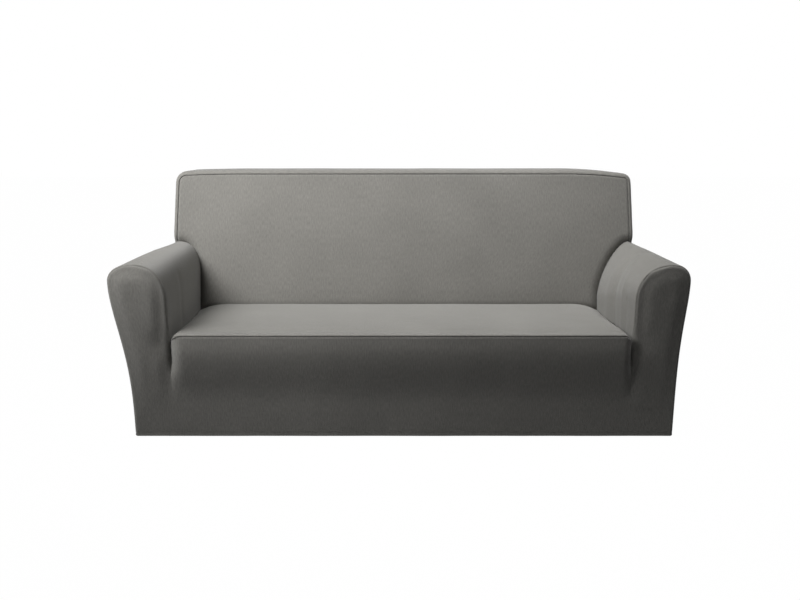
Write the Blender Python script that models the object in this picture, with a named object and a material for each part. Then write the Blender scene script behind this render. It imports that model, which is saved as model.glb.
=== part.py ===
"""Stretch slipcover, as it sits on a three-seat sofa with rolled arms.

The whole cover is laid out first as one skin of points, panel by panel. The panels are then cut
apart along their seams and thickened inwards, so each one is a thin closed sheet of cloth.
Distances in the functions run from the seat's middle (x), back from the arm fronts (y) and up
from the hem (z). in_frame() moves them so that the origin is the middle of the box, at the hem.
"""

import math
from collections import defaultdict

import bmesh
import bpy
from mathutils import Vector

# Driving sizes, in metres
CLOTH = 0.002  # the cloth's thickness
SEAM_GAP = 0.0003  # what each panel keeps clear of a seam line
CORNER_GAP = 0.0025  # and of a corner where three or more panels meet
HALF_WIDTH = 1.019  # seat's middle to the outer side, at the hem and the back
BACK_HEIGHT = 0.967
SEAT_FRONT_Z = 0.400
SEAT_BACK_Z = 0.390
CREASE_Z = 0.360  # the bottom of the creases round the seat
FOLD_FOOT_Z = 0.235  # where the folds beside the seat front run out
BACK_FOOT_Y = 0.560  # the back's face, at the height of the creases
BACK_LEAN = 0.218  # how far the back's face leans back for each metre up
REAR_FOOT_Y = 0.840  # the rear face, at the hem
REAR_LEAN = 0.072
TUCK = 0.020  # how deep the creases run in behind the faces
EDGE_RADIUS = 0.012  # arm fronts, round to the arms
BACK_RADIUS = 0.018  # back, round its top and sides
BACK_TAPER = 0.012  # how much narrower each side of the back is at its top
APRON_SWELL = 0.026  # how far the seat front stands out before the arm fronts

# One row for each arm: distances from the seat's middle, and heights. Where there are two values,
# the first is at the arm's front and the second at the back. The left arm is the fuller.
ARMS = {
    "left": {
        "sign": -1, "bulge": 1.082, "bulge_z": 0.590, "flare": 1.6, "crown_z": 0.657,
        "inner": (0.868, 0.900), "crown": (0.985, 0.992), "spring_z": (0.520, 0.520), "power": (2.2, 2.2),
    },
    "right": {
        "sign": 1, "bulge": 1.044, "bulge_z": 0.590, "flare": 2.2, "crown_z": 0.656,
        "inner": (0.846, 0.858), "crown": (0.975, 0.992), "spring_z": (0.520, 0.415), "power": (2.2, 1.5),
    },
}
ROLL_POWER = 2.2  # the outer side of an arm's roll is a little squarer than an ellipse

# One row for each top corner of the back: its radius, and how far the top droops towards it.
CORNERS = {
    "left": {"sign": -1, "radius": 0.050, "droop": 0.008, "from": 0.700},
    "right": {"sign": 1, "radius": 0.036, "droop": 0.022, "from": 0.720},
}

# How many flat strips stand for each stretch
RISE_STEPS = 3
SHOULDER_STEPS = 6
ROLL_STEPS = 5
FLARE_STEPS = 11
LOW_STEPS = 5
FOLD_STEPS = 3
CORNER_STEPS = 4
TOP_STEPS = 24
SIDE_SHARES = (0.0, 0.07, 0.30, 0.65, 1.0)
DEPTH_SHARES = (0.0, 0.02, 0.12, 0.25, 0.38, 0.50, 0.62, 0.74, 0.86, 0.95, 1.0)

COVER_COLOUR = (0.150, 0.150, 0.145, 1.0)
COVER_ROUGHNESS = 0.85

JOIN = RISE_STEPS + SHOULDER_STEPS + 1
SEAT_STEPS = TOP_STEPS + CORNER_STEPS - 2 * (SHOULDER_STEPS // 2 + 1)
BACK_SEAM_X = HALF_WIDTH - BACK_RADIUS
EDGE_SEAM = EDGE_RADIUS * (1.0 - math.sqrt(0.5))  # the seam sits half way round the edge
SPAN_X = (-ARMS["left"]["bulge"], ARMS["right"]["bulge"])
SPAN_Y = (-APRON_SWELL, REAR_FOOT_Y + REAR_LEAN * BACK_HEIGHT)


def in_frame(point):
    return Vector(point) - Vector((sum(SPAN_X) / 2, sum(SPAN_Y) / 2, 0.0))


def ramp(value, start, end):
    """0 before start, 1 after end, and a smooth rise between."""
    t = min(max((value - start) / (end - start), 0.0), 1.0)
    return t * t * (3.0 - 2.0 * t)


def shares(steps):
    return [k / steps for k in range(steps + 1)]


def back_y(z):
    """The back's front face."""
    return BACK_FOOT_Y + BACK_LEAN * (z - CREASE_Z)


def rear_y(z):
    return REAR_FOOT_Y + REAR_LEAN * z


def quarter(centre, reach, power, degrees):
    """A point on a quarter of an ellipse or a squarer curve: level at 0 degrees, on top at 90."""
    across = max(math.cos(math.radians(degrees)), 0.0) ** (2.0 / power)
    up = math.sin(math.radians(degrees)) ** (2.0 / power)
    return centre[0] + reach[0] * across, centre[1] + reach[1] * up


def arm_outline(arm, to_back):
    """An arm's section as (distance out, height): up from the seat crease, over, and down to the hem.
    to_back is 0 at the arm's front and 1 at the back. The back's side seam meets station JOIN."""
    names = ("inner", "crown", "spring_z", "power")
    inner, crown, spring, power = (arm[n][0] + (arm[n][1] - arm[n][0]) * to_back for n in names)
    rise = [(inner, CREASE_Z + (spring - CREASE_Z) * share) for share in shares(RISE_STEPS)[:-1]]
    reach = (inner - crown, arm["crown_z"] - spring)
    shoulder = [
        quarter((crown, spring), reach, power, 90.0 * share) for share in shares(SHOULDER_STEPS)
    ]
    reach = (arm["bulge"] - crown, arm["crown_z"] - arm["bulge_z"])
    join = math.degrees(math.acos(((BACK_SEAM_X - crown) / reach[0]) ** (ROLL_POWER / 2.0)))
    roll = [
        quarter((crown, arm["bulge_z"]), reach, ROLL_POWER, join * (1.0 - share))
        for share in shares(ROLL_STEPS)
    ]
    flare = [
        (
            HALF_WIDTH + (arm["bulge"] - HALF_WIDTH) * ramp((1.0 - share) ** arm["flare"], 0.0, 1.0),
            arm["bulge_z"] * (1.0 - share),
        )
        for share in shares(FLARE_STEPS)[1:]
    ]
    return rise + shoulder + roll + flare


def outward(path):
    """The unit normal to the left of a path of (x, z) points, at each point."""
    found = []
    for k in range(len(path)):
        before, after = path[max(k - 1, 0)], path[min(k + 1, len(path) - 1)]
        along = Vector((after[0] - before[0], after[1] - before[1])).normalized()
        found.append((-along.y, along.x))
    return found


def settled(z):
    """0 where the seat's corner presses on an arm's front edge, and 1 from a little above it."""
    return ramp(z, CREASE_Z, CREASE_Z + 0.08)


def join_point(arm):
    """Where arm, back and boxing meet: (height, distance back)."""
    height = arm_outline(arm, 1.0)[JOIN][1]
    return height, back_y(height) + TUCK


def side_edge_x(arm, z):
    """The boxing's front edge, below the arm's top: flush with the side, then in under the corner."""
    height = join_point(arm)[0]
    return HALF_WIDTH - BACK_RADIUS * ramp(z, height - 0.09, height)


def arm_grid(arm):
    """The arm's cloth: a row for each station of its section, and columns from its front to the back."""
    outlines = [arm_outline(arm, share) for share in DEPTH_SHARES]
    slopes = outward(outlines[0])
    join_y = join_point(arm)[1]
    rows = []
    for k in range(len(slopes)):
        inside = k <= JOIN
        even = settled(outlines[0][k][1]) if k <= RISE_STEPS else 1.0
        front = TUCK + (EDGE_SEAM - TUCK) * even
        rear = back_y(outlines[-1][k][1]) + TUCK if inside else join_y
        row = []
        for share, outline in zip(DEPTH_SHARES, outlines, strict=True):
            x, z = outline[k]
            y = front + (rear - front) * share
            inset = EDGE_SEAM * even if share == 0.0 else 0.0
            to_side = 0.0 if inside else ramp(y, join_y - 0.24, join_y)
            out = x - inset * slopes[k][0]
            out += to_side * (side_edge_x(arm, z) - out)
            row.append((arm["sign"] * out, y, z - inset * slopes[k][1]))
        rows.append(row)
    return rows


def top_z(x):
    """The top of the back: level, with a droop to each corner."""
    corner = CORNERS["left" if x < 0 else "right"]
    reach = HALF_WIDTH - corner["from"]
    return BACK_HEIGHT - corner["droop"] * max((abs(x) - corner["from"]) / reach, 0.0) ** 2


def side_x(z):
    return HALF_WIDTH - BACK_TAPER * max(z - ARMS["left"]["crown_z"], 0.0) / 0.30


def corner_arc(corner, inset):
    """A top corner of the back, from its side to its top."""
    radius = corner["radius"]
    x = side_x(BACK_HEIGHT - radius) - radius
    z = top_z(corner["sign"] * x) - radius
    for share in shares(CORNER_STEPS):
        angle = math.radians(90.0 * share)
        reach = radius - inset
        yield corner["sign"] * (x + reach * math.cos(angle)), z + reach * math.sin(angle)


def back_side(name, inset):
    """The back's side as (x, z), from the arm's join up to the corner's arc."""
    sign = CORNERS[name]["sign"]
    low = join_point(ARMS[name])[0]
    high = next(corner_arc(CORNERS[name], inset))[1]
    heights = [low + (high - low) * share for share in SIDE_SHARES]
    return [(sign * (side_x(z) - inset), z) for z in heights]


def back_top(inset):
    """The back's top as (x, z), between the two corner arcs, from left to right."""
    left, right = (list(corner_arc(CORNERS[name], inset))[-1][0] for name in ("left", "right"))
    found = []
    for share in shares(TOP_STEPS):
        x = left + (right - left) * share
        found.append((x, top_z(x) - inset))
    return found


def face_edge_y(name, z):
    """The seam round the back's face: it rises out of the arm's crease."""
    low = join_point(ARMS[name])[0]
    return back_y(z) + TUCK * (1.0 - ramp(z, low, low + 0.05))


def upper_path(inset):
    """Up the left side of the back, over the top and down the right, as (x, z, side's name)."""
    left = back_side("left", inset) + list(corner_arc(CORNERS["left"], inset))[1:]
    right = back_side("right", inset) + list(corner_arc(CORNERS["right"], inset))[1:]
    return (
        [(x, z, "left") for x, z in left]
        + [(x, z, "left" if x < 0 else "right") for x, z in back_top(inset)[1:-1]]
        + [(x, z, "right") for x, z in reversed(right)]
    )


def boxing_grid():
    """The strip round the back, hem to hem: a row for each station, and columns from rear to front."""
    turns = [math.radians(angle) for angle in (0.0, 30.0, 60.0, 90.0)]
    round_over = [(1.0 - math.sin(a), 1.0 - math.cos(a)) for a in turns]
    rows = []
    insets = [BACK_RADIUS * across for across, _ in round_over]
    paths = [upper_path(inset) for inset in insets]
    for name in ("left", "right"):
        arm = ARMS[name]
        join_y = join_point(arm)[1]
        rows_here = []
        for _, z in reversed(arm_outline(arm, 1.0)[JOIN + 1 :]):
            tucked = HALF_WIDTH - side_edge_x(arm, z)
            front = [
                (arm["sign"] * (HALF_WIDTH - tucked * across), join_y + BACK_RADIUS * deep, z)
                for across, deep in round_over
            ]
            rear = [
                (arm["sign"] * (HALF_WIDTH - BACK_RADIUS * across), rear_y(z) - BACK_RADIUS * deep, z)
                for across, deep in round_over
            ]
            rows_here.append(rear + front[::-1])
        if name == "left":
            rows += rows_here
            for stations in zip(*paths, strict=True):
                side = stations[0][2]
                front = [
                    (x, face_edge_y(side, z) + BACK_RADIUS * deep, z)
                    for (x, z, _), (_, deep) in zip(stations, round_over, strict=True)
                ]
                rear = [
                    (x, rear_y(z) - BACK_RADIUS * deep, z)
                    for (x, z, _), (_, deep) in zip(stations, round_over, strict=True)
                ]
                rows.append(rear + front[::-1])
        else:
            rows += rows_here[::-1]
    return rows


def filled(bottom, top, left, right, face_y, reach=0.35):
    """A grid between four borders that share their corners. A side border's own shape dies out over
    `reach` of the width. Inside the borders, points lie on face_y(x, z)."""
    lengths = [0.0]
    for a, b in zip(left, left[1:], strict=False):
        lengths.append(lengths[-1] + (Vector(b) - Vector(a)).length)
    rows = []
    last_row, last_column = len(left) - 1, len(bottom) - 1
    for j in range(len(left)):
        v = lengths[j] / lengths[-1]
        row = []
        for i in range(len(bottom)):
            u = i / last_column
            point = Vector(bottom[i]).lerp(Vector(top[i]), v)
            for side, column, away in ((left, 0, u), (right, -1, 1.0 - u)):
                weight = 1.0 - ramp(away, 0.0, reach)
                straight = Vector(bottom[column]).lerp(Vector(top[column]), v)
                point += weight * (Vector(side[j]) - straight)
            border = i in (0, last_column) or j in (0, last_row)
            row.append((point.x, point.y if border else face_y(point.x, point.z), point.z))
        rows.append(row)
    return rows


def seat_columns(to_back):
    """Pairs of a seat column's x and its distance from the nearer arm, close together at both ends."""
    left, right = (
        arm["sign"] * (arm["inner"][0] + (arm["inner"][1] - arm["inner"][0]) * to_back)
        for arm in ARMS.values()
    )
    ends = (0.0, 0.015, 0.045, 0.095)
    steps = SEAT_STEPS - 2 * (len(ends) - 1)
    span = right - left - 2 * ends[-1]
    middle = [left + ends[-1] + span * share for share in shares(steps)]
    columns = [left + end for end in ends[:-1]] + middle + [right - end for end in ends[:-1]][::-1]
    return [(x, min(x - left, right - x)) for x in columns]


def drop(away, reach):
    """1 against an arm, falling to 0 at `reach` from it."""
    return max(1.0 - away / reach, 0.0) ** 2.5


def seat_front_seam():
    """The seam along the seat's front edge. It dives into the crease at both ends."""
    seam = []
    for x, away in seat_columns(0.0):
        fall = drop(away, 0.06)
        z = SEAT_FRONT_Z + (CREASE_Z - SEAT_FRONT_Z) * fall
        y = -APRON_SWELL * 0.85 + (TUCK + APRON_SWELL * 0.85) * fall
        seam.append((x, y, z))
    return seam


def seat_grid():
    """The seat's cloth, a row for each share of its depth. Three of its edges curl down into creases."""
    seam = seat_front_seam()
    rear = BACK_FOOT_Y + TUCK
    rows = []
    for share in DEPTH_SHARES:
        row = []
        for (x, away), (_, front, front_z) in zip(seat_columns(share), seam, strict=True):
            y = front + (rear - front) * share
            level = SEAT_FRONT_Z + (SEAT_BACK_Z - SEAT_FRONT_Z) * share + 0.008 * math.sin(math.pi * share)
            crown = level - (level - CREASE_Z) * drop(away, 0.05)
            to_rear = max(1.0 - (rear - y) / 0.07, 0.0) ** 2
            z = crown - (crown - CREASE_Z) * to_rear
            z += (front_z - z) * (1.0 - ramp(share, 0.0, 0.05))
            row.append((x, y, z))
        rows.append(row)
    return rows


def front_grids():
    """The front panel: both arm fronts and the apron under the seat, as three grids that share edges."""
    low = [FOLD_FOOT_Z * share for share in shares(LOW_STEPS)[:-1]]
    fold = [FOLD_FOOT_Z + (CREASE_Z - FOLD_FOOT_Z) * share for share in shares(FOLD_STEPS)]
    fold_line = [(z, TUCK * ramp(z, FOLD_FOOT_Z, CREASE_Z)) for z in low + fold]
    sides = {
        name: [(arm["sign"] * arm["inner"][0], y, z) for z, y in fold_line] for name, arm in ARMS.items()
    }
    grids = []
    for name, arm in ARMS.items():
        seam = [row[0] for row in arm_grid(arm)]
        half = RISE_STEPS + SHOULDER_STEPS // 2
        inner = sides[name] + seam[1 : half + 1]
        outer = list(reversed(seam))[: len(inner)]
        crown = seam[half : len(seam) - len(outer) + 1][::-1]
        feet = [
            (outer[0][0] + (inner[0][0] - outer[0][0]) * share, outer[0][1] * (1.0 - share), 0.0)
            for share in shares(len(crown) - 1)
        ]
        borders = (feet, crown, outer, inner)
        if arm["sign"] > 0:
            borders = (feet[::-1], crown[::-1], inner, outer)
        grids.append(filled(*borders, lambda x, z: 0.0, reach=0.7))
    hem = [(x, 0.0, 0.0) for x, _ in seat_columns(0.0)]
    apron = filled(hem, seat_front_seam(), sides["left"], sides["right"], apron_y)
    return [*grids, apron]


def apron_y(x, z):
    """The seat front swells out over the base, and curls back beside the arms."""
    away = min(x + ARMS["left"]["inner"][0], ARMS["right"]["inner"][0] - x)
    return -APRON_SWELL * ramp(z, 0.14, 0.34) * (1.0 - drop(away, 0.08))


def between(start, end, foot):
    """(x, z) along the straight line from start to end, spaced as the points of foot are."""
    left, right = foot[0][0], foot[-1][0]
    for x, _, _ in foot:
        share = (x - left) / (right - left)
        yield start[0] + (end[0] - start[0]) * share, start[2] + (end[2] - start[2]) * share


def inside_back_grids():
    """The face of the back in two grids, between the arms and above them, up to the seam round it."""
    split, half = RISE_STEPS + SHOULDER_STEPS // 2, CORNER_STEPS // 2
    foot = [(x, BACK_FOOT_Y + TUCK, CREASE_Z) for x, _ in seat_columns(1.0)]
    low, over_arm, high = {}, {}, {}
    for name, arm in ARMS.items():
        crease = [row[-1] for row in arm_grid(arm)[: JOIN + 1]]
        rim = back_side(name, BACK_RADIUS) + list(corner_arc(CORNERS[name], BACK_RADIUS))[1 : half + 1]
        low[name], over_arm[name] = crease[: split + 1], crease[split:]
        high[name] = [crease[JOIN]] + [(x, face_edge_y(name, z), z) for x, z in rim[1:]]
    level = []
    for x, z in between(low["left"][-1], low["right"][-1], foot):
        level.append((x, back_y(z), z))
    level[0], level[-1] = low["left"][-1], low["right"][-1]
    path = upper_path(BACK_RADIUS)
    skip = len(SIDE_SHARES) - 1 + half
    top = [(x, face_edge_y(name, z), z) for x, z, name in path[skip : len(path) - skip]]
    under = over_arm["left"][:0:-1] + level + over_arm["right"][1:]

    def face(x, z):
        return back_y(z)

    return [
        filled(foot, level, low["left"], low["right"], face),
        filled(under, top, high["left"], high["right"], face),
    ]


def outside_back_grid():
    """The rear face, from the hem to the seam round its edge."""
    half = CORNER_STEPS // 2
    sides = {}
    for name, arm in ARMS.items():
        below = list(reversed(arm_outline(arm, 1.0)[JOIN + 1 :]))[::4]
        low = [(arm["sign"] * (HALF_WIDTH - BACK_RADIUS), z) for _, z in below]
        arc = list(corner_arc(CORNERS[name], BACK_RADIUS))[1 : half + 1]
        sides[name] = [(x, rear_y(z), z) for x, z in low + back_side(name, BACK_RADIUS)[::2] + arc]
    corner = {name: list(corner_arc(CORNERS[name], BACK_RADIUS))[half:-1] for name in CORNERS}
    rim = corner["right"] + back_top(BACK_RADIUS)[::-1] + corner["left"][::-1]
    top = [(x, rear_y(z), z) for x, z in rim]
    hem = [
        (BACK_SEAM_X - 2.0 * BACK_SEAM_X * share, rear_y(0.0), 0.0) for share in shares(len(top) - 1)
    ]
    return filled(hem, top, sides["right"], sides["left"], lambda x, z: rear_y(z))


def panels():
    """Every panel as its grids of points. Across and then up a grid's rows turns to the outside."""
    left, right = arm_grid(ARMS["left"]), arm_grid(ARMS["right"])
    return {
        "seat_panel": [seat_grid()],
        "inside_back_panel": inside_back_grids(),
        "front_panel": front_grids(),
        "left_arm_panel": [left],
        "right_arm_panel": [[row[::-1] for row in right]],
        "back_boxing": [boxing_grid()],
        "outside_back_panel": [outside_back_grid()],
    }


def key(point):
    return tuple(round(value, 5) for value in point)


def skin_of(grids):
    """One mesh of a panel's grids, with the points that they share joined."""
    skin = bmesh.new()
    for grid in grids:
        columns, rows = len(grid[0]) - 1, len(grid) - 1
        made = bmesh.ops.create_grid(skin, x_segments=columns, y_segments=rows, size=0.5)
        for vertex in made["verts"]:
            i, j = round((vertex.co.x + 0.5) * columns), round((vertex.co.y + 0.5) * rows)
            vertex.co = in_frame(grid[j][i])
    bmesh.ops.remove_doubles(skin, verts=skin.verts, dist=0.0001)
    skin.normal_update()
    return skin


def seam_normals(skins):
    """The outward direction at each point of the whole cover, and the number of panels there."""
    normals, meetings = defaultdict(Vector), defaultdict(int)
    for skin in skins.values():
        for vertex in skin.verts:
            meetings[key(vertex.co)] += 1
            for face in vertex.link_faces:
                normals[key(vertex.co)] += face.normal
    return {place: (normal.normalized(), meetings[place]) for place, normal in normals.items()}


def pulls(skin):
    """The direction from each seam's points into the panel, within the cloth and square to the seam.
    The hem is free, so it has none."""
    found = defaultdict(Vector)
    for edge in skin.edges:
        if edge.is_boundary and max(vertex.co.z for vertex in edge.verts) > 0.0:
            face = edge.link_faces[0]
            pull = face.normal.cross(edge.verts[1].co - edge.verts[0].co).normalized()
            if pull.dot(face.calc_center_median() - edge.verts[0].co) < 0.0:
                pull.negate()
            for vertex in edge.verts:
                found[vertex] += pull
    return {vertex: pull.normalized() for vertex, pull in found.items()}


def cloth(name, skin, seams, material):
    """Cuts a panel free at its seams, gives it its thickness, inwards, and makes it an object.
    Where two panels meet round an edge they share a mitre. In a crease each keeps to its own side."""
    inwards, edges = {}, pulls(skin)
    for vertex in skin.verts:
        normal, meeting = seams[key(vertex.co)]
        if vertex in edges and normal.dot(edges[vertex]) > 0.1:
            normal = vertex.normal.copy()
        inwards[vertex] = -normal * CLOTH
        if vertex in edges:
            edges[vertex] *= SEAM_GAP if meeting < 3 else CORNER_GAP
    for vertex, move in edges.items():
        vertex.co += move
    bmesh.ops.triangulate(skin, faces=skin.faces)
    inner_copy = bmesh.ops.duplicate(skin, geom=list(skin.faces))
    for source, copied in inner_copy["vert_map"].items():
        if source in inwards:
            copied.co = source.co + inwards[source]
    rims = {edge for edge in skin.edges if edge.is_boundary}
    copied_faces = [item for item in inner_copy["geom"] if isinstance(item, bmesh.types.BMFace)]
    bmesh.ops.reverse_faces(skin, faces=copied_faces)
    bmesh.ops.bridge_loops(skin, edges=list(rims))
    bmesh.ops.recalc_face_normals(skin, faces=skin.faces)
    mesh = bpy.data.meshes.new(name)
    skin.to_mesh(mesh)
    skin.free()
    mesh.materials.append(material)
    mesh.shade_smooth()
    mesh.set_sharp_from_angle(angle=math.radians(50.0))
    made = bpy.data.objects.new(name, mesh)
    bpy.context.scene.collection.objects.link(made)


def cover_material():
    material = bpy.data.materials.new("stretch_cover_cloth")
    material.use_nodes = True
    shader = material.node_tree.nodes["Principled BSDF"]
    shader.inputs["Base Color"].default_value = COVER_COLOUR
    shader.inputs["Roughness"].default_value = COVER_ROUGHNESS
    shader.inputs["Metallic"].default_value = 0.0
    return material


for old in list(bpy.data.objects):
    bpy.data.objects.remove(old)
cover_cloth = cover_material()
all_skins = {name: skin_of(grids) for name, grids in panels().items()}
all_seams = seam_normals(all_skins)
for panel_name, panel_skin in all_skins.items():
    cloth(panel_name, panel_skin, all_seams, cover_cloth)
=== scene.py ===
import math

import bmesh
import bpy
import numpy as np
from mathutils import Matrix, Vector, noise
from mathutils.kdtree import KDTree


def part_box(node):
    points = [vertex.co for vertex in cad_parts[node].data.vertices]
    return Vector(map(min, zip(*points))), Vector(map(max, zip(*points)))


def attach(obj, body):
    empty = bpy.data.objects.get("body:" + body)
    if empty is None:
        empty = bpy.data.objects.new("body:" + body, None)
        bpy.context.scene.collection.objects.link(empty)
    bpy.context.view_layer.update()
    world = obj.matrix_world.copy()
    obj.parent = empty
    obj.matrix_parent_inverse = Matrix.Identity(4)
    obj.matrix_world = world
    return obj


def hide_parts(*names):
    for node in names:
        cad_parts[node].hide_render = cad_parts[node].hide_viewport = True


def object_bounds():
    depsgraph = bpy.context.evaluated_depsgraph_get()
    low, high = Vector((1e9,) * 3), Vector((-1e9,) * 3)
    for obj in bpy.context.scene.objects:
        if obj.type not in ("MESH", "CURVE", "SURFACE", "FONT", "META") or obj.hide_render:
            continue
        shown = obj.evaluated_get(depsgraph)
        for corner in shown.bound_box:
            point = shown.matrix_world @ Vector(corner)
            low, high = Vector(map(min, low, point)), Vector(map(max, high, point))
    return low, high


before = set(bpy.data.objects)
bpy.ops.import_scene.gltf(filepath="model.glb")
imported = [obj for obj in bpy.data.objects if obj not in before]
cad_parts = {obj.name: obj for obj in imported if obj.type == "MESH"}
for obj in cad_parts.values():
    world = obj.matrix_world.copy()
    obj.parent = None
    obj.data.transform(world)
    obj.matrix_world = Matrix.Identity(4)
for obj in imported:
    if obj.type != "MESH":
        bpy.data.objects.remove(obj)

cad_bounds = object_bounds()

# ---------------------------------------------------------------------------------------------
# The arms. Each arm's cloth is one length of stretch knit. It runs up from the seat's crease, over
# the rolled top and down the outer side to the hem, and is pulled tight from front to back.
# Lengths are in metres: x from the seat's middle, y back from the arm fronts, z up from the hem.

HALF_WIDTH = 1.019  # seat's middle to the outer side, at the hem and the back
CREASE_Z = 0.360  # the bottom of the creases round the seat
BACK_FOOT_Y = 0.560  # the back's face, at the height of the creases
BACK_LEAN = 0.218  # how far the back's face leans back for each metre up
TUCK = 0.020  # how deep the creases run in behind the faces
EDGE_RADIUS = 0.012  # arm fronts, round to the arms
BACK_RADIUS = 0.018  # back, round its top and sides
APRON_SWELL = 0.026  # how far the seat front stands out before the arm fronts
CLOTH = 0.002  # the knit's thickness
SEAM_GAP = 0.0003  # what each panel keeps clear of a seam line
SEAM_DEPTH = 0.0026  # a seam draws the cloth in by this much
SEAM_REACH = 0.006  # and this far to each side of it
HEM_STITCH = 0.011  # the hem's row of stitches, above its edge
CELL = 0.010  # the cloth's grid, away from seams
SEAM_CELL = 0.0012  # and beside a seam
EDGE_SEAM = EDGE_RADIUS * (1.0 - math.sqrt(0.5))  # how far a rounded edge has turned in at its seam
ROLL_START_Z = 0.615  # where the grids on an arm's inner side give way to those on its top

# Rough lengths, which only set how many grid lines a panel gets.
ARM_DEPTH = 0.57
ARM_INNER_RISE = 0.42
ARM_OUTER_FALL = 0.66
ARM_LOW_RISE = 0.25
ARM_WIDTH = 0.22

# Where there are two values, the first is at the arm's front and the second at the back.
ARMS = {
    "left": {
        "sign": -1, "bulge": 1.082, "bulge_z": 0.590, "flare": 1.6, "crown_z": 0.657,
        "inner": (0.868, 0.900), "crown": (0.985, 0.992), "spring_z": (0.520, 0.520), "power": (2.2, 2.2),
    },
    "right": {
        "sign": 1, "bulge": 1.044, "bulge_z": 0.590, "flare": 2.2, "crown_z": 0.656,
        "inner": (0.846, 0.858), "crown": (0.975, 0.992), "spring_z": (0.520, 0.415), "power": (2.2, 1.5),
    },
}
ROLL_POWER = 2.2

# Soft troughs and ridges that the pull leaves in an arm's cloth: from and to are (y, z) on its
# inner side, and rise is how far the cloth stands out there, or lies in where it is negative.
ARM_FOLDS = {
    "left": [
        {"from": (0.235, 0.36), "to": (0.245, 0.56), "width": 0.022, "rise": -0.0035},
        {"from": (0.030, 0.40), "to": (0.030, 0.62), "width": 0.010, "rise": 0.0015},
    ],
    "right": [
        {"from": (0.300, 0.36), "to": (0.330, 0.60), "width": 0.040, "rise": -0.0100},
        {"from": (0.165, 0.36), "to": (0.190, 0.56), "width": 0.020, "rise": 0.0035},
        {"from": (0.115, 0.36), "to": (0.120, 0.50), "width": 0.014, "rise": -0.0030},
        {"from": (0.400, 0.36), "to": (0.420, 0.55), "width": 0.030, "rise": 0.0030},
    ],
}

middle_x = sum(corner.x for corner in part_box("outside_back_panel")) / 2
front_y = cad_bounds[0].y + APRON_SWELL


def ramp(value, start, end):
    """0 before start, 1 after end, and a smooth rise between."""
    t = np.clip((value - start) / (end - start), 0.0, 1.0)
    return t * t * (3.0 - 2.0 * t)


def spaced(length, seams="both", cell=CELL):
    """Shares of a length for the cloth's grid lines, closing up towards the ends that are sewn."""
    growing = [SEAM_CELL]
    while growing[-1] * 1.4 < cell:
        growing.append(growing[-1] * 1.4)
    start = growing if seams in ("start", "both") else []
    end = growing[::-1] if seams in ("end", "both") else []
    left = length - sum(start) - sum(end)
    count = max(round(left / cell), 1)
    return np.concatenate([[0.0], np.cumsum(start + [left / count] * count + end)]) / length


def along(path, shares):
    """Points at those shares of a path's length."""
    path = np.asarray(path, float)
    reached = np.concatenate([[0.0], np.cumsum(np.linalg.norm(np.diff(path, axis=0), axis=1))])
    wanted = np.asarray(shares) * reached[-1]
    return np.stack([np.interp(wanted, reached, part) for part in path.T], axis=-1)


def distance_to(points, *paths):
    """Each point's distance to the nearest of some paths, in as many dimensions as they have."""
    lines = []
    for path in paths:
        length = np.linalg.norm(np.diff(path, axis=0), axis=1).sum()
        lines.append(along(path, np.linspace(0.0, 1.0, max(int(length / 0.001), 2))))
    lines = np.vstack(lines)
    lines = np.pad(lines, ((0, 0), (0, 3 - lines.shape[1])))
    tree = KDTree(len(lines))
    for number, point in enumerate(lines):
        tree.insert(point, number)
    tree.balance()
    flat = points.reshape(-1, points.shape[-1])
    flat = np.pad(flat, ((0, 0), (0, 3 - flat.shape[1])))
    return np.array([tree.find(point)[2] for point in flat]).reshape(points.shape[:-1])


def round_in(distance, radius):
    """How far a surface has turned in, at a distance short of the edge that it rounds."""
    short = np.clip(radius - distance, 0.0, radius)
    return radius - np.sqrt(radius**2 - short**2)


def outward(points):
    """The unit normals of a grid of points."""
    across = np.gradient(points, axis=1)
    upward = np.gradient(points, axis=0)
    normal = np.cross(across, upward)
    return normal / np.maximum(np.linalg.norm(normal, axis=-1, keepdims=True), 1e-12)


def folds(first, second, table):
    """The rise of all the folds in a table, at surface places (first, second)."""
    rise = np.zeros_like(first)
    for fold in table:
        start, end = np.array(fold["from"]), np.array(fold["to"])
        along_x, along_y = end - start
        length = math.hypot(along_x, along_y)
        t = ((first - start[0]) * along_x + (second - start[1]) * along_y) / length**2
        side = (first - start[0]) * along_y - (second - start[1]) * along_x
        past = np.maximum(np.maximum(-t, t - 1.0), 0.0) * length
        width = fold["width"]
        rise += fold["rise"] * np.exp(-((side / length / width) ** 2) - (past / width / 1.5) ** 2)
    return rise


def uneven(points):
    """The slight waves of a cloth that is stretched by hand."""
    flat = points.reshape(-1, 3)
    waves = [
        0.0012 * noise.noise(Vector((x * 5.0, y * 5.0, z * 5.0)))
        + 0.0005 * noise.noise(Vector((x * 17.0 + 9.0, y * 17.0, z * 17.0)))
        for x, y, z in flat
    ]
    return np.array(waves).reshape(points.shape[:-1])


def sewn(points, seams, rise=0.0, direction=None):
    """Moves a panel's points out by `rise` and its own unevenness, and in beside its seams and along
    the stitches of its hem. Returns the points and their distances to a seam."""
    normal = outward(points) if direction is None else np.array(direction)
    to_seam = distance_to(points, *seams)
    groove = SEAM_DEPTH * np.clip(1.0 - to_seam / SEAM_REACH, 0.0, 1.0) ** 2
    stitches = 0.0012 * np.exp(-(((points[..., 2] - HEM_STITCH) / 0.0022) ** 2))
    calm = ramp(to_seam, 0.0, 0.04)
    move = (rise + uneven(points)) * calm - groove - stitches
    return points + move[..., None] * normal, to_seam


def linear(hex_colour):
    """An sRGB hex colour as the linear one that the shaders take."""
    parts = [int(hex_colour[k : k + 2], 16) / 255 for k in (1, 3, 5)]
    return [p / 12.92 if p <= 0.04045 else ((p + 0.055) / 1.055) ** 2.4 for p in parts] + [1.0]


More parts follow.
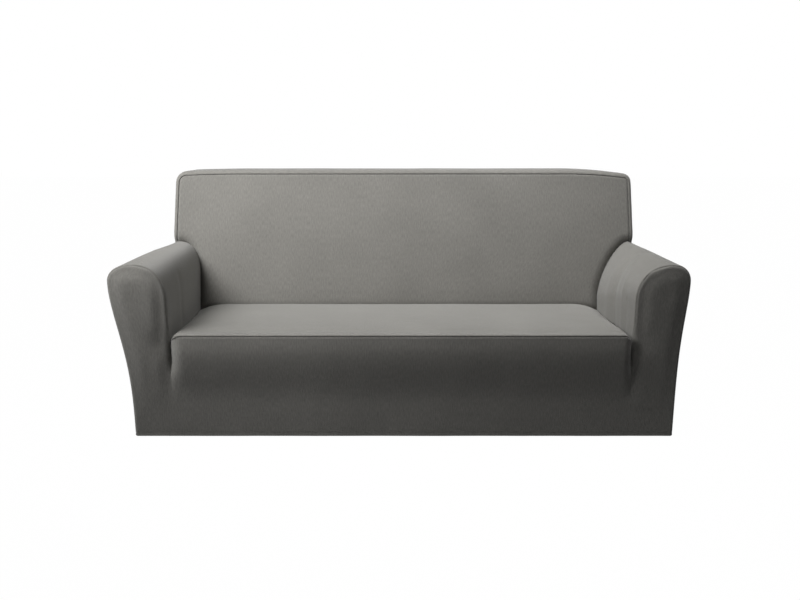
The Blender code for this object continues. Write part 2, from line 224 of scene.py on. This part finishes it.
def add_node(tree, kind, settings, inputs):
    """Adds a shader node with its settings, and sets or links each of its inputs."""
    made = tree.nodes.new(kind)
    for name, value in settings.items():
        setattr(made, name, value)
    for name, value in inputs.items():
        if isinstance(value, bpy.types.NodeSocket):
            tree.links.new(value, made.inputs[name])
        else:
            made.inputs[name].default_value = value
    return made


def stretch_knit():
    """Stretch jersey, dyed grey in the piece. It looks matt, with a faint sheen at grazing angles and
    fine upright ribs. The ribs are taken to be 1.2 mm apart, as is usual, which is too fine to show
    from a few metres. Streaks 4.2 mm apart, coarser than the real ones, are drawn over them."""
    material = bpy.data.materials.new("stretch_knit_jersey")
    material.use_nodes = True
    tree = material.node_tree
    tree.nodes.clear()
    cloth_map = add_node(tree, "ShaderNodeUVMap", {"uv_map": "cloth"}, {}).outputs["UV"]
    rib, drawn_rib, loop = 0.0012, 0.0042, 0.0016
    ribs = add_node(
        tree, "ShaderNodeTexWave", {"bands_direction": "X"},
        {"Vector": cloth_map, "Scale": 2.0 * math.pi / 20.0 / rib, "Distortion": 0.6, "Detail": 1.0},
    )
    loops = add_node(
        tree, "ShaderNodeTexWave", {"bands_direction": "Y"},
        {"Vector": cloth_map, "Scale": 2.0 * math.pi / 20.0 / loop, "Distortion": 0.8, "Detail": 1.0},
    )
    stretched = add_node(
        tree, "ShaderNodeMapping", {}, {"Vector": cloth_map, "Scale": (1.0, 0.22, 1.0)}
    ).outputs["Vector"]
    streaks = add_node(
        tree, "ShaderNodeTexNoise", {"noise_dimensions": "2D"},
        {"Vector": stretched, "Scale": 1.0 / drawn_rib, "Detail": 3.0, "Roughness": 0.6},
    )
    place = add_node(tree, "ShaderNodeTexCoord", {}, {}).outputs["Object"]
    patches = add_node(
        tree, "ShaderNodeTexNoise", {}, {"Vector": place, "Scale": 4.0, "Detail": 2.0, "Roughness": 0.5}
    )
    tone = add_node(
        tree, "ShaderNodeMix", {"data_type": "RGBA"},
        {"Factor": streaks.outputs["Fac"], "A": linear("#63625e"), "B": linear("#86847f")},
    )
    drift = add_node(
        tree, "ShaderNodeMapRange", {},
        {"Value": patches.outputs["Fac"], "From Min": 0.3, "From Max": 0.7, "To Min": 0.95, "To Max": 1.05},
    )
    dyed = add_node(
        tree, "ShaderNodeVectorMath", {"operation": "SCALE"},
        {0: tone.outputs["Result"], "Scale": drift.outputs["Result"]},
    )
    # Painted shade: beside a seam the colour is darkened to 55 % of itself on the seam line, easing back to
    # full 3.5 mm away, where the cloth is drawn into the seam.
    seam = add_node(tree, "ShaderNodeAttribute", {"attribute_name": "to_seam"}, {})
    seam_painted_shade = add_node(
        tree, "ShaderNodeMapRange", {"interpolation_type": "SMOOTHSTEP"},
        {"Value": seam.outputs["Fac"], "From Min": 0.0, "From Max": 0.0035, "To Min": 0.55, "To Max": 1.0},
    )
    colour_with_painted_shade = add_node(
        tree, "ShaderNodeVectorMath", {"operation": "SCALE"},
        {0: dyed.outputs["Vector"], "Scale": seam_painted_shade.outputs["Result"]},
    )
    knit = add_node(
        tree, "ShaderNodeMath", {"operation": "MULTIPLY"}, {0: ribs.outputs["Fac"], 1: loops.outputs["Fac"]}
    )
    fine = add_node(
        tree, "ShaderNodeBump", {}, {"Height": knit.outputs["Value"], "Distance": 0.0004, "Strength": 0.5}
    )
    coarse = add_node(
        tree, "ShaderNodeBump", {},
        {
            "Height": streaks.outputs["Fac"], "Distance": 0.0012, "Strength": 0.5,
            "Normal": fine.outputs["Normal"],
        },
    )
    shader = add_node(
        tree, "ShaderNodeBsdfPrincipled", {},
        {
            "Base Color": colour_with_painted_shade.outputs["Vector"], "Roughness": 0.92, "Specular IOR Level": 0.25,
            "Sheen Weight": 0.25, "Sheen Roughness": 0.5, "Normal": coarse.outputs["Normal"],
        },
    )
    add_node(tree, "ShaderNodeOutputMaterial", {}, {"Surface": shader.outputs["BSDF"]})
    return material


knit_jersey = stretch_knit()


def cloth(name, grids):
    """Makes a panel of cloth from grids of (points, distances to a seam), joined where they meet. Its
    UV map runs in metres, and its thickness lies inside the surface."""
    skin = bmesh.new()
    uv_map = skin.loops.layers.uv.new("cloth")
    # Each point keeps its distance to a seam. The material paints shade along the seams from it.
    seam_layer = skin.verts.layers.float.new("to_seam")
    for points, to_seam in grids:
        rows, columns = points.shape[0] - 1, points.shape[1] - 1
        steps_u = np.linalg.norm(np.diff(points, axis=1), axis=-1).mean(axis=0)
        steps_v = np.linalg.norm(np.diff(points, axis=0), axis=-1).mean(axis=1)
        u = np.concatenate([[0.0], np.cumsum(steps_u)])
        v = np.concatenate([[0.0], np.cumsum(steps_v)])
        made = bmesh.ops.create_grid(skin, x_segments=columns, y_segments=rows, size=0.5)
        places = {}
        for vertex in made["verts"]:
            i, j = round((vertex.co.x + 0.5) * columns), round((vertex.co.y + 0.5) * rows)
            places[vertex] = (u[i], v[j])
            vertex.co = points[j, i] + (middle_x, front_y, 0.0)
            vertex[seam_layer] = to_seam[j, i]
        for face in {face for vertex in places for face in vertex.link_faces}:
            for loop in face.loops:
                loop[uv_map].uv = places[loop.vert]
    bmesh.ops.remove_doubles(skin, verts=skin.verts, dist=0.0001)
    skin.normal_update()
    pulls = {}
    for edge in skin.edges:
        if edge.is_boundary and max(vertex.co.z for vertex in edge.verts) > 0.001:
            face = edge.link_faces[0]
            pull = face.normal.cross(edge.verts[1].co - edge.verts[0].co).normalized()
            if pull.dot(face.calc_center_median() - edge.verts[0].co) < 0.0:
                pull.negate()
            for vertex in edge.verts:
                pulls[vertex] = pulls.get(vertex, Vector()) + pull
    for vertex, pull in pulls.items():
        vertex.co += pull.normalized() * SEAM_GAP
    mesh = bpy.data.meshes.new(name)
    skin.to_mesh(mesh)
    skin.free()
    mesh.materials.append(knit_jersey)
    mesh.shade_smooth()
    piece = bpy.data.objects.new(name, mesh)
    bpy.context.scene.collection.objects.link(piece)
    thickness = piece.modifiers.new("thickness", "SOLIDIFY")
    thickness.thickness = CLOTH
    thickness.offset = -1.0
    return piece


def back_y(z):
    """The back's front face, where it is flat."""
    return BACK_FOOT_Y + BACK_LEAN * (z - CREASE_Z)


def arm_section(arm, to_back):
    """An arm's section as (distance out, height), in two paths: from the seat's crease over the top to
    the line where the back's side seam meets it, and from there down to the hem."""
    names = ("inner", "crown", "spring_z", "power")
    inner, crown, spring, power = (arm[n][0] + (arm[n][1] - arm[n][0]) * to_back for n in names)
    turn = np.radians(np.linspace(0.0, 90.0, 40))
    across, up = np.maximum(np.cos(turn), 0.0) ** (2.0 / power), np.sin(turn) ** (2.0 / power)
    shoulder = np.stack([crown + (inner - crown) * across, spring + (arm["crown_z"] - spring) * up], -1)
    roll = arm["bulge"] - crown
    level = (HALF_WIDTH - BACK_RADIUS - crown) / roll
    join = math.acos(level ** (ROLL_POWER / 2.0))
    turn = join * np.linspace(1.0, 0.0, 30)
    across, up = np.cos(turn) ** (2.0 / ROLL_POWER), np.sin(turn) ** (2.0 / ROLL_POWER)
    drop = arm["crown_z"] - arm["bulge_z"]
    outer = np.stack([crown + roll * across, arm["bulge_z"] + drop * up], -1)
    fall = np.linspace(0.0, 1.0, 40)[1:]
    flare = HALF_WIDTH + (arm["bulge"] - HALF_WIDTH) * ramp((1.0 - fall) ** arm["flare"], 0.0, 1.0)
    side = np.stack([flare, arm["bulge_z"] * (1.0 - fall)], -1)
    return np.vstack([[(inner, CREASE_Z)], shoulder, outer[:1]]), np.vstack([outer, side])


def join_point(arm):
    """Where arm, back and the strip round the back meet: (height, distance back)."""
    height = arm_section(arm, 1.0)[1][0][1]
    return height, back_y(height) + TUCK


def side_edge_x(arm, z):
    """The strip's front edge, below the arm's top: flush with the side, then in under the corner."""
    height = join_point(arm)[0]
    return HALF_WIDTH - BACK_RADIUS * ramp(z, height - 0.09, height)


def seat_corner(distance):
    """0 where the seat's corner presses on an arm's front edge, and 1 from 80 mm off."""
    return ramp(distance, 0.0, 0.08)


def arm_points(arm, table):
    """An arm's cloth, a row for each place on its section, and columns from its front to the back."""
    depths = spaced(ARM_DEPTH)
    inside, outside = spaced(ARM_INNER_RISE, "start"), spaced(ARM_OUTER_FALL, "end")
    sections = []
    for share in depths:
        inner_path, outer_path = arm_section(arm, share)
        sections.append(np.vstack([along(inner_path, inside), along(outer_path, outside)[1:]]))
    section = np.stack(sections, axis=1)
    out, up = section[..., 0], section[..., 1]
    within = (np.arange(len(out)) < len(inside))[:, None]
    join_y = join_point(arm)[1]
    near_corner = np.where(within & (up[:, :1] < arm["spring_z"][0]), seat_corner(up[:, :1] - CREASE_Z), 1.0)
    front = TUCK + (EDGE_SEAM - TUCK) * near_corner
    rear = np.where(within, back_y(up[:, -1:]) + TUCK, join_y)
    y = front + (rear - front) * depths
    slope = np.gradient(section, axis=0)
    slope /= np.linalg.norm(slope, axis=-1, keepdims=True)
    rise = np.where(within, folds(y, up, table), 0.0)
    move = rise * ramp(y, 0.0, 0.05) * ramp(rear - y, 0.0, 0.06) - round_in(y, EDGE_RADIUS) * near_corner
    out, up = out - slope[..., 1] * move, up + slope[..., 0] * move
    to_side = np.where(within, 0.0, ramp(y, join_y - 0.24, join_y))
    out = out + to_side * (side_edge_x(arm, up) - out)
    return np.stack([arm["sign"] * out, y, up], axis=-1)


arm_grids = {name: arm_points(arm, ARM_FOLDS[name]) for name, arm in ARMS.items()}
join_rows = {name: len(spaced(ARM_INNER_RISE, "start")) - 1 for name in ARMS}
for arm_name, arm_grid in arm_grids.items():
    if ARMS[arm_name]["sign"] > 0:
        arm_grid = arm_grid[:, ::-1]
    front_edge = arm_grids[arm_name][:, 0]
    rear_edge = arm_grids[arm_name][join_rows[arm_name] :, -1]
    arm_cloth = cloth(f"{arm_name}_arm", [sewn(arm_grid, [front_edge, rear_edge])])
    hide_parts(f"{arm_name}_arm_panel")
    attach(arm_cloth, "root")

# ---------------------------------------------------------------------------------------------
# The seat. One panel of the same knit over the seat's foam. It ends in a seam along the front edge,
# and its other three sides are pushed down into the creases beside the arms and under the back.

SEAT_FRONT_Z = 0.400
SEAT_BACK_Z = 0.392
SEAT_CROWN = 0.008  # how much higher the middle of the seat is than a straight line, front to back
SEAT_EDGE_RADIUS = 0.007
SEAT_OVERHANG = APRON_SWELL * 0.85  # how far the seat's front seam stands out

SEAT_FOLDS = [
    {"from": (-0.78, 0.030), "to": (0.60, 0.030), "width": 0.022, "rise": -0.0022},
    {"from": (0.780, 0.045), "to": (0.838, 0.012), "width": 0.007, "rise": 0.0022},
    {"from": (0.770, 0.020), "to": (0.835, -0.004), "width": 0.006, "rise": -0.0020},
]


def crease_drop(away, reach):
    """1 at a crease, falling to 0 at `reach` from it."""
    return np.clip(1.0 - away / reach, 0.0, 1.0) ** 2.5


def seat_points():
    """The seat, a row for each place from its front seam back into the crease under the back."""
    across, depths = spaced(1.72), spaced(0.60)[:, None]
    ends = [
        arm["sign"] * (arm["inner"][0] + (arm["inner"][1] - arm["inner"][0]) * depths)
        for arm in ARMS.values()
    ]
    x = ends[0] + (ends[1] - ends[0]) * across
    away = np.minimum(x - ends[0], ends[1] - x)
    fall = crease_drop(away[:1], 0.045)
    front = -SEAT_OVERHANG + (TUCK + SEAT_OVERHANG) * fall
    rear = BACK_FOOT_Y + TUCK
    y = front + (rear - front) * depths
    level = SEAT_FRONT_Z + (SEAT_BACK_Z - SEAT_FRONT_Z) * depths + SEAT_CROWN * np.sin(math.pi * depths)
    reach = 0.045 + 0.085 * ramp(depths, 0.0, 0.8)
    z = level - (level - CREASE_Z) * crease_drop(away, reach)
    z = z - (z - CREASE_Z) * crease_drop(rear - y, 0.045)
    z = z - round_in(y - front, SEAT_EDGE_RADIUS) * (1.0 - fall)
    z = z + folds(x, y, SEAT_FOLDS) * ramp(y - front, 0.0, 0.01)
    return np.stack([x, y, z], axis=-1)


seat_grid = seat_points()
seat_cloth = cloth("seat", [sewn(seat_grid, [seat_grid[0]])])
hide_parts("seat_panel")
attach(seat_cloth, "root")

# ---------------------------------------------------------------------------------------------
# The front panel. Both arm fronts and the apron under the seat are one piece of knit, sewn to the
# arms and the seat round its upper edge and hemmed below. Beside the seat it is pushed in, in two
# short upright folds that run out under the seat's height.

FOLD_FOOT_Z = 0.232  # where the folds beside the seat front run out
FOLD_FULL_Z = 0.300  # and where they are at their full depth
FOLD_WIDTH = {"left": 0.0055, "right": 0.0045}
APRON_CORNER = {"left": 0.060, "right": 0.035}
ARM_PUFF = {"left": 0.012, "right": 0.008}
PAST_BULGE = 12  # grid lines from the arm's widest place up to where its top is taken to start


def filled(bottom, top, left, right, reach):
    """A grid of (x, z) between four borders that share their corners. The shape of a side border dies
    out over `reach` of the width."""
    v = np.linalg.norm(np.diff(left, axis=0), axis=1)
    v = (np.concatenate([[0.0], np.cumsum(v)]) / v.sum())[:, None, None]
    u = np.linalg.norm(np.diff(bottom, axis=0), axis=1)
    u = np.concatenate([[0.0], np.cumsum(u)]) / u.sum()
    points = bottom[None] * (1.0 - v) + top[None] * v
    for side, column, away in ((left, 0, u), (right, -1, 1.0 - u)):
        straight = bottom[column] * (1.0 - v) + top[column] * v
        points = points + (1.0 - ramp(away, 0.0, reach))[None, :, None] * (side[:, None] - straight)
    return points


def fold_depth(z):
    """How deep the folds beside the seat front are, from 0 to 1."""
    return np.where(z < CREASE_Z, ramp(z, FOLD_FOOT_Z, FOLD_FULL_Z), 1.0 - seat_corner(z - CREASE_Z))


def upright(x, low, high, shares):
    """An upright line of (x, z) points."""
    return np.stack([np.full(len(shares), x), low + (high - low) * shares], axis=-1)


def arm_front(name, fold_rows):
    """One arm's front, as part of the front panel."""
    arm = ARMS[name]
    inner_x = arm["sign"] * arm["inner"][0]
    seam = arm_grids[name][:, 0]
    flat_seam = seam[:, [0, 2]]
    split = int(np.searchsorted(flat_seam[: join_rows[name], 1], ROLL_START_Z))
    upper = along(flat_seam[: split + 1], spaced(ARM_LOW_RISE, "none"))
    inner = np.vstack([upright(inner_x, 0.0, CREASE_Z, fold_rows), upper[1:]])
    reached = np.linalg.norm(np.diff(inner, axis=0), axis=1)
    reached = np.concatenate([[0.0], np.cumsum(reached)]) / reached.sum()
    outer_start = int(np.argmax(np.abs(flat_seam[:, 0])))
    outer = along(flat_seam[: outer_start - PAST_BULGE : -1], reached)
    crown = along(flat_seam[split : outer_start - PAST_BULGE + 1], spaced(ARM_WIDTH))[::-1]
    feet = outer[0] + (inner[0] - outer[0]) * (1.0 - spaced(ARM_WIDTH)[::-1])[:, None]
    left, right = outer, inner
    if arm["sign"] > 0:
        left, right, crown, feet = inner, outer, crown[::-1], feet[::-1]
    grid = filled(feet, crown, left, right, 0.7)
    x, z = grid[..., 0], grid[..., 1]
    to_seam = distance_to(grid, flat_seam)
    from_corner = np.hypot(x - inner_x, z - CREASE_Z)
    inside = np.abs(x) < arm["crown"][0]
    near = np.where(inside, seat_corner(from_corner), 1.0)
    y = round_in(to_seam + EDGE_SEAM, EDGE_RADIUS) * near
    y = y + TUCK * fold_depth(z) * np.exp(-np.abs(x - inner_x) / FOLD_WIDTH[name])
    puff = ARM_PUFF[name] * ramp(to_seam, 0.0, 0.06) * ramp(z, 0.05, 0.35) * ramp(from_corner, 0.0, 0.10)
    y = y - puff * ramp(np.abs(x - inner_x), 0.0, 0.05)
    return np.stack([x, y, z], axis=-1), seam


def apron(fold_rows):
    """The part under the seat. It swells out over the base and curls back beside the arms."""
    top = seat_grid[0][:, [0, 2]]
    hem = np.stack([top[:, 0], np.zeros(len(top))], axis=-1)
    sides = [upright(end[0], 0.0, CREASE_Z, fold_rows) for end in (top[0], top[-1])]
    grid = filled(hem, top, *sides, 0.1)
    x, z = grid[..., 0], grid[..., 1]
    y = np.zeros_like(x)
    swell = APRON_SWELL * ramp(z, 0.13, 0.34) * (1.0 - 0.15 * ramp(z, 0.34, SEAT_FRONT_Z))
    corner_left = crease_drop(x - x[:, :1], APRON_CORNER["left"])
    corner_right = crease_drop(x[:, -1:] - x, APRON_CORNER["right"])
    corner = np.maximum(corner_left, corner_right)
    y = TUCK * fold_depth(z) * corner - swell * (1.0 - corner)
    y[-1] = seat_grid[0][:, 1]
    return np.stack([x, y, z], axis=-1)


fold_rows = spaced(CREASE_Z, "both")
front_grids = [arm_front(name, fold_rows) for name in ARMS]
apron_grid = apron(fold_rows)
front_seams = [seam for _, seam in front_grids] + [seat_grid[0][8:-8]]
front_cloth = cloth(
    "front",
    [
        sewn(grid, front_seams, direction=(0.0, -1.0, 0.0))
        for grid in (front_grids[0][0], front_grids[1][0], apron_grid)
    ],
)
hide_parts("front_panel")
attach(front_cloth, "root")

# ---------------------------------------------------------------------------------------------
# The back's face. One panel over the foam of the back, from the seat's crease up between the arms
# and over them to the seam round its edge. It leans back and is drawn in deep along the creases.

BACK_HEIGHT = 0.967
BACK_TAPER = 0.012  # how much narrower each side of the back is at its top
BACK_BELLY = 0.010  # how far the middle of the face stands out
CREASE_REACH = 0.050
SIDE_POINTS = 11  # points of the outline up each side
ARC_POINTS = 17  # and round each corner
HALF_TURN = SIDE_POINTS + ARC_POINTS // 2  # points up to the middle of a corner
CORNERS = {
    "left": {"sign": -1, "radius": 0.050, "droop": 0.008, "from": 0.700},
    "right": {"sign": 1, "radius": 0.036, "droop": 0.022, "from": 0.720},
}


def top_z(x):
    """The top of the back: level, with a droop to each corner."""
    z = np.full_like(x, BACK_HEIGHT)
    for corner in CORNERS.values():
        past = np.maximum(corner["sign"] * x - corner["from"], 0.0) / (HALF_WIDTH - corner["from"])
        z = z - corner["droop"] * past**2
    return z


def side_x(z):
    """The back's side, which draws in a little above the arms."""
    return HALF_WIDTH - BACK_TAPER * np.maximum(z - ARMS["left"]["crown_z"], 0.0) / 0.30


def corner_arc(corner, inset):
    """A top corner of the back, from its side to its top, as (x, z)."""
    radius = corner["radius"]
    x = side_x(BACK_HEIGHT - radius) - radius
    z = top_z(np.array(corner["sign"] * x)) - radius
    turn = np.radians(np.linspace(0.0, 90.0, ARC_POINTS))
    reach = radius - inset
    return np.stack([corner["sign"] * (x + reach * np.cos(turn)), z + reach * np.sin(turn)], axis=-1)


def back_outline(inset):
    """Up the left side of the back from the arm, over the top and down the right, as (x, z)."""
    halves = []
    for name, corner in CORNERS.items():
        arc = corner_arc(corner, inset)
        low = join_point(ARMS[name])[0]
        z = np.linspace(low, arc[0][1], SIDE_POINTS + 1)[:-1]
        side = np.stack([corner["sign"] * (side_x(z) - inset), z], axis=-1)
        halves.append(np.vstack([side, arc]))
    x = np.linspace(halves[0][-1][0], halves[1][-1][0], 60)[1:-1]
    top = np.stack([x, top_z(x) - inset], axis=-1)
    return np.vstack([halves[0], top, halves[1][::-1]])


def crease_in(distance):
    """How far the face is pushed in at a distance from the crease."""
    return TUCK * np.clip(1.0 - distance / CREASE_REACH, 0.0, 1.0) ** 2.5


def back_face_points():
    """The face in two grids, between the arms and above them."""
    rim = back_outline(BACK_RADIUS)
    low, over_arm, creases = {}, {}, {}
    for name in ARMS:
        crease = arm_grids[name][: join_rows[name] + 1, -1][:, [0, 2]]
        split = int(np.searchsorted(crease[:, 1], ROLL_START_Z))
        low[name] = along(crease[: split + 1], spaced(ARM_LOW_RISE, "none"))
        over_arm[name] = along(crease[split:], spaced(0.12, "none"))
        creases[name] = crease
    across = spaced(1.76)
    foot = np.stack([seat_grid[-1][:, 0], np.full(len(seat_grid[-1]), CREASE_Z)], axis=-1)
    foot = along(foot, across)
    level = low["left"][-1] + (low["right"][-1] - low["left"][-1]) * across[:, None]
    under = np.vstack([over_arm["left"][:0:-1], level, over_arm["right"][1:]])
    sides = [
        along(rim[: HALF_TURN + 1], spaced(0.29, "both")),
        along(rim[::-1][: HALF_TURN + 1], spaced(0.29, "both")),
    ]
    reached = np.linalg.norm(np.diff(under, axis=0), axis=1)
    reached = np.concatenate([[0.0], np.cumsum(reached)]) / reached.sum()
    top = along(rim[HALF_TURN : len(rim) - HALF_TURN], reached)
    grids = [
        filled(foot, level, low["left"], low["right"], 0.35),
        filled(under, top, *sides, 0.35),
    ]
    crease_line = np.vstack([creases["left"][::-1], foot, creases["right"]])
    found = []
    for grid in grids:
        x, z = grid[..., 0], grid[..., 1]
        belly = BACK_BELLY * np.sin(math.pi * np.clip((z - CREASE_Z) / 0.60, 0.0, 1.0)) ** 0.8
        belly = belly * ramp(HALF_WIDTH - np.abs(x), 0.02, 0.40)
        to_crease = distance_to(grid, crease_line)
        y = back_y(z) + crease_in(to_crease) - belly * ramp(to_crease, 0.0, 0.10)
        found.append(np.stack([x, y, z], axis=-1))
    return found


face_grids = back_face_points()
upper = face_grids[1]
face_seam = np.vstack([upper[:, 0], upper[-1], upper[::-1, -1]])
face_cloth = cloth(
    "back_face", [sewn(grid, [face_seam], direction=(0.0, -0.977, 0.213)) for grid in face_grids]
)
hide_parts("inside_back_panel")
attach(face_cloth, "root")

# ---------------------------------------------------------------------------------------------
# The strip round the back. It is sewn to the face in front and to the rear panel behind, and runs
# from the hem up one end of the back, over its top and down to the hem at the other end.

REAR_FOOT_Y = 0.840
REAR_LEAN = 0.072


def rear_y(z):
    """The rear face, which leans back a little."""
    return REAR_FOOT_Y + REAR_LEAN * z


def face_edge_y(x, z):
    """The seam round the back's face. It rises out of the arm's crease."""
    low = np.where(x < 0.0, join_point(ARMS["left"])[0], join_point(ARMS["right"])[0])
    return back_y(z) + crease_in(np.maximum(z - low, 0.0))


def along_outline(line, reached, shares):
    """Points of an outline at places that match those of the other outlines round the same corner."""
    count = len(line) - 1
    steps = np.interp(shares, reached, np.arange(count + 1))
    low = np.minimum(steps.astype(int), count - 1)
    part = (steps - low)[:, None]
    return line[low] * (1.0 - part) + line[low + 1] * part


def strip_points():
    """A row for each place along the strip, and columns from its rear seam to its front seam."""
    turn = np.radians(np.linspace(0.0, 90.0, 9))
    across, deep = 1.0 - np.sin(turn), 1.0 - np.cos(turn)
    lower = {}
    for name, arm in ARMS.items():
        height, join_y = join_point(arm)
        z = (height * spaced(height, "start"))[:-1, None]
        tucked = HALF_WIDTH - side_edge_x(arm, z)
        front_x, rear_x = HALF_WIDTH - tucked * across, HALF_WIDTH - BACK_RADIUS * across + 0.0 * z
        front = [front_x, join_y + BACK_RADIUS * deep + 0.0 * z, z + 0.0 * front_x]
        rear = [rear_x, rear_y(z) - BACK_RADIUS * deep, z + 0.0 * rear_x]
        front, rear = np.stack(front, axis=-1), np.stack(rear, axis=-1)
        for edge in (front, rear):
            edge[..., 0] *= arm["sign"]
        lower[name] = (rear, front)
    steps = np.linalg.norm(np.diff(back_outline(0.0), axis=0), axis=1)
    length = steps.sum()
    reached = np.concatenate([[0.0], np.cumsum(steps)]) / length
    shares = spaced(length, "none")
    lines = [back_outline(BACK_RADIUS * inset) for inset in across]
    lines = np.stack([along_outline(line, reached, shares) for line in lines], axis=1)
    x, z = lines[..., 0], lines[..., 1]
    front = np.stack([x, face_edge_y(x, z) + BACK_RADIUS * deep, z], axis=-1)
    rear = np.stack([x, rear_y(z) - BACK_RADIUS * deep, z], axis=-1)
    rear = np.vstack([lower["left"][0], rear, lower["right"][0][::-1]])
    front = np.vstack([lower["left"][1], front, lower["right"][1][::-1]])
    shares = np.linspace(0.0, 1.0, 16)[1:-1]
    between = rear[:, -1:] + (front[:, -1:] - rear[:, -1:]) * shares[None, :, None]
    return np.concatenate([rear, between, front[:, ::-1]], axis=1)


strip_grid = strip_points()
strip_cloth = cloth("back_strip", [sewn(strip_grid, [strip_grid[:, 0], strip_grid[:, -1]])])
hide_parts("back_boxing")
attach(strip_cloth, "root")

# ---------------------------------------------------------------------------------------------
# The rear panel. A plain rectangle of the knit with two rounded top corners, sewn to the strip on
# three sides and hemmed below.


def rear_points():
    """The rear face, from the hem up to the seam round its edge."""
    rim = back_outline(BACK_RADIUS)
    sides = []
    for path in (rim[::-1], rim):
        foot = [(path[0][0], 0.0)]
        sides.append(along(np.vstack([foot, path[: HALF_TURN + 1]]), spaced(0.95)))
    across = spaced(2.0, cell=0.016)
    top = along(rim[HALF_TURN : len(rim) - HALF_TURN], across)[::-1]
    hem = np.stack([sides[0][0][0] + (sides[1][0][0] - sides[0][0][0]) * across, 0.0 * across], axis=-1)
    grid = filled(hem, top, *sides, 0.35)
    x, z = grid[..., 0], grid[..., 1]
    return np.stack([x, rear_y(z), z], axis=-1)


rear_grid = rear_points()
rear_seam = np.vstack([rear_grid[:, 0], rear_grid[-1], rear_grid[::-1, -1]])
rear_cloth = cloth("rear", [sewn(rear_grid, [rear_seam])])
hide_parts("outside_back_panel")
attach(rear_cloth, "root")

# ---------------------------------------------------------------------------------------------
# The studio. A soft light high on the left, a second over the right arm, and a weak fill from all
# round. The floor glows as white as the backdrop and takes no part in lighting the cloth.

FLOOR_GLOW = 0.995
FILL = 0.07


def studio_light(name, place, target, size, power, spread):
    """Adds a square soft light: its size in metres, its power in watts, its spread in degrees."""
    lamp = bpy.data.lights.new(name, "AREA")
    lamp.shape = "SQUARE"
    lamp.size = size
    lamp.energy = power
    lamp.spread = math.radians(spread)
    made = bpy.data.objects.new(name, lamp)
    made.location = place
    made.rotation_euler = (Vector(target) - Vector(place)).to_track_quat("-Z", "Y").to_euler()
    bpy.context.scene.collection.objects.link(made)
    return made


studio_light("key", (-1.75, -0.95, 2.1), (-0.35, 0.3, 0.75), 1.2, 25.0, 88.0)
studio_light("top", (0.7, -0.2, 2.2), (0.6, -0.1, 0.40), 1.1, 12.0, 110.0)

floor_mesh = bpy.data.meshes.new("floor")
floor_skin = bmesh.new()
bmesh.ops.create_grid(floor_skin, x_segments=1, y_segments=1, size=20.0)
floor_skin.to_mesh(floor_mesh)
floor_skin.free()
floor = bpy.data.objects.new("floor", floor_mesh)
bpy.context.scene.collection.objects.link(floor)
floor_paint = bpy.data.materials.new("white_studio_floor")
floor_paint.use_nodes = True
floor_tree = floor_paint.node_tree
floor_tree.nodes.clear()
matt = add_node(floor_tree, "ShaderNodeBsdfDiffuse", {}, {"Color": linear("#ffffff")})
glow = add_node(floor_tree, "ShaderNodeEmission", {}, {"Color": linear("#ffffff"), "Strength": 1.0})
both = add_node(
    floor_tree, "ShaderNodeMixShader", {}, {0: FLOOR_GLOW, 1: matt.outputs[0], 2: glow.outputs[0]}
)
add_node(floor_tree, "ShaderNodeOutputMaterial", {}, {"Surface": both.outputs[0]})
floor_mesh.materials.append(floor_paint)
floor.visible_diffuse = False

world = bpy.data.worlds.new("studio")
bpy.context.scene.world = world
world.use_nodes = True
world_tree = world.node_tree
world_tree.nodes.clear()
seen = add_node(world_tree, "ShaderNodeLightPath", {}, {}).outputs["Is Camera Ray"]
strength = add_node(
    world_tree, "ShaderNodeMapRange", {}, {"Value": seen, "To Min": FILL, "To Max": 1.0}
).outputs["Result"]
sky = add_node(world_tree, "ShaderNodeBackground", {}, {"Color": linear("#ffffff"), "Strength": strength})
add_node(world_tree, "ShaderNodeOutputWorld", {}, {"Surface": sky.outputs["Background"]})

CAMERA_HEIGHT = 1.099
CAMERA_DISTANCE = 2.70  # in front of the arm fronts
CAMERA_TILT = 11.97  # degrees below the level
camera_data = bpy.data.cameras.new("camera")
camera_data.sensor_width = 36.0
camera_data.lens = 34.07
camera = bpy.data.objects.new("camera", camera_data)
camera.location = (middle_x - 0.015, front_y - CAMERA_DISTANCE, CAMERA_HEIGHT)
camera.rotation_euler = (math.radians(90.0 - CAMERA_TILT), 0.0, 0.0)
bpy.context.scene.collection.objects.link(camera)
bpy.context.scene.camera = camera
bpy.context.scene.view_settings.view_transform = "Standard"
